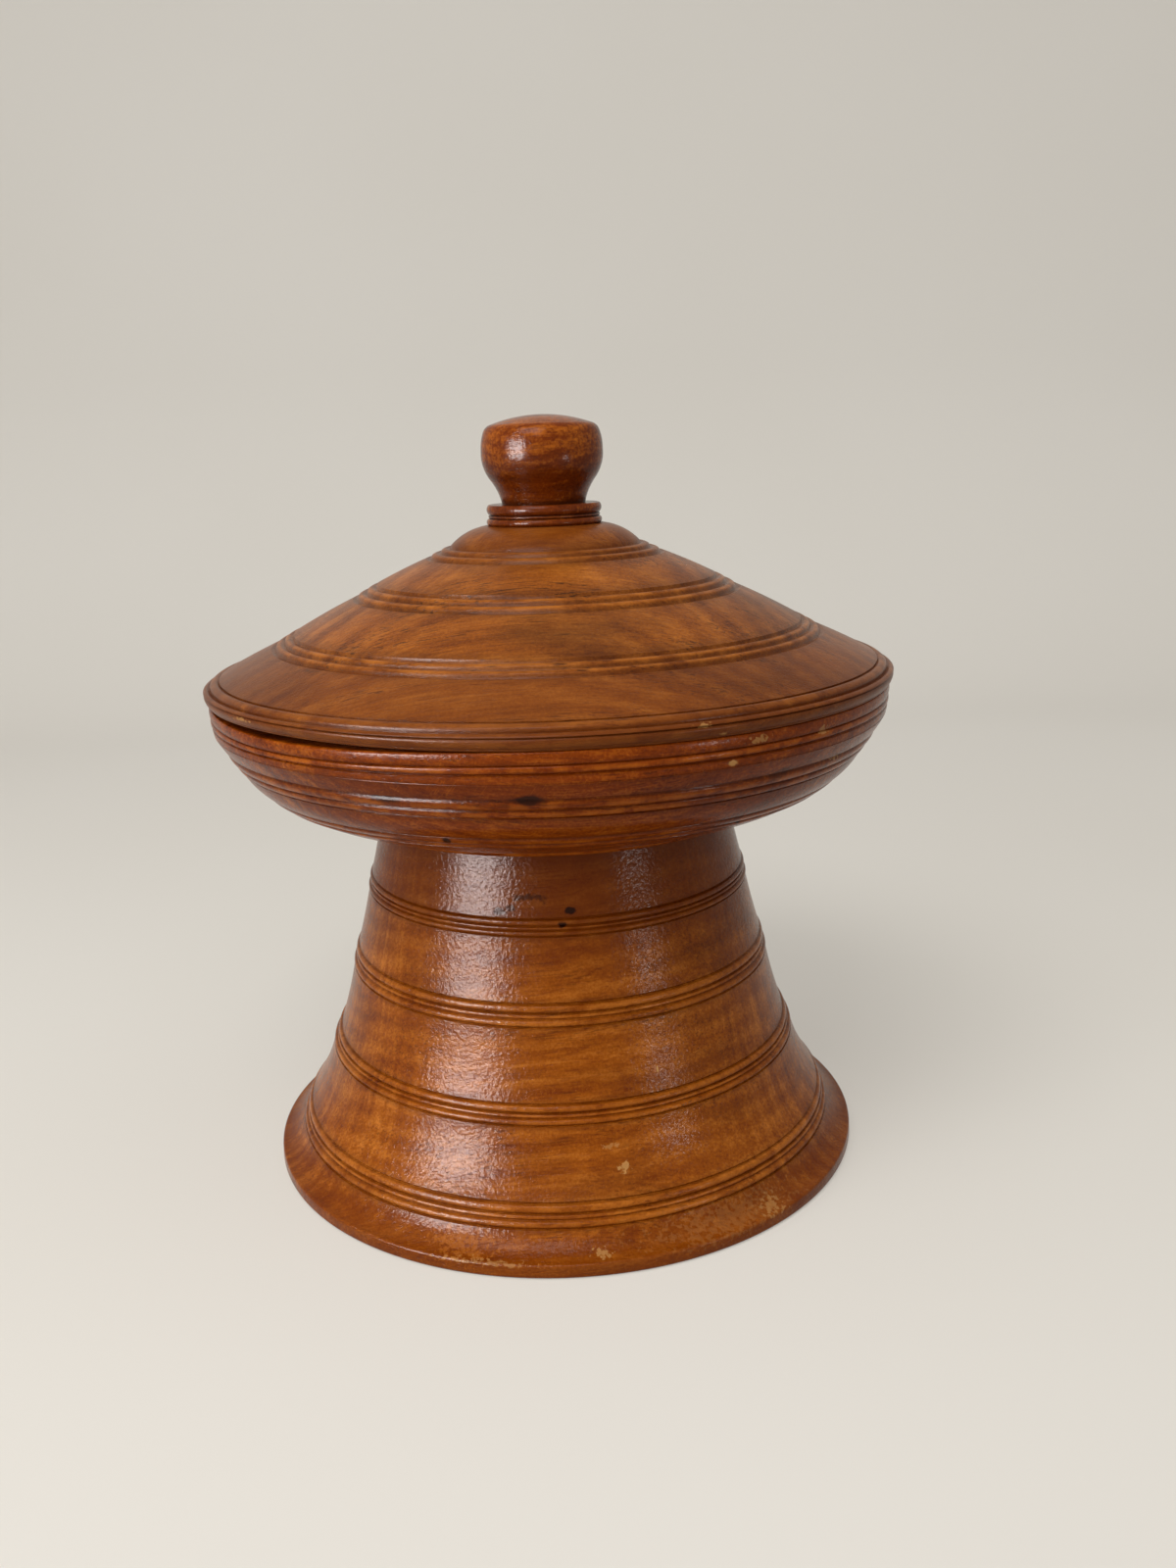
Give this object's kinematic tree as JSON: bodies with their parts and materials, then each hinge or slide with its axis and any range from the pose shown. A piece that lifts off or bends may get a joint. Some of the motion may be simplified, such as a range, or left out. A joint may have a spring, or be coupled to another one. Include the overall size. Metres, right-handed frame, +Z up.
{
  "type": "offering box",
  "caption": "Turned wooden offering box: shallow bowl on a hollow flared foot, with a conical lid that lifts off by its mushroom knob.",
  "frame": {"origin": "centre of the foot's underside, on the surface that the box stands on", "axes": "+Z up along the turning axis, -Y towards the viewer of the picture, +X to the viewer's right"},
  "size_m": [0.352, 0.352, 0.3856],
  "materials": {
    "foot_wood": "semi-gloss varnish over orange-brown hardwood, dark wax in the turned lines",
    "bowl_wood": "semi-gloss varnish over red-brown hardwood, dark wax in the turned lines",
    "lid_wood": "worn satin varnish over brown hardwood, dark patina in the turned lines",
    "knob_wood": "handled gloss over red-brown hardwood",
    "peg_wood": "bare split hardwood"
  },
  "bodies": {
    "base": {"pedestal": "foot_wood", "bowl": "bowl_wood", "bowl_pegs": "peg_wood"},
    "lid": {"lid": "lid_wood", "knob": "knob_wood", "knob_wedge": "peg_wood"}
  },
  "joints": [
    {"name": "lid_lift", "type": "slide", "parent": "base", "child": "lid", "axis": [0, 0, 1], "range_m": [0, 0.15]}
  ]
}
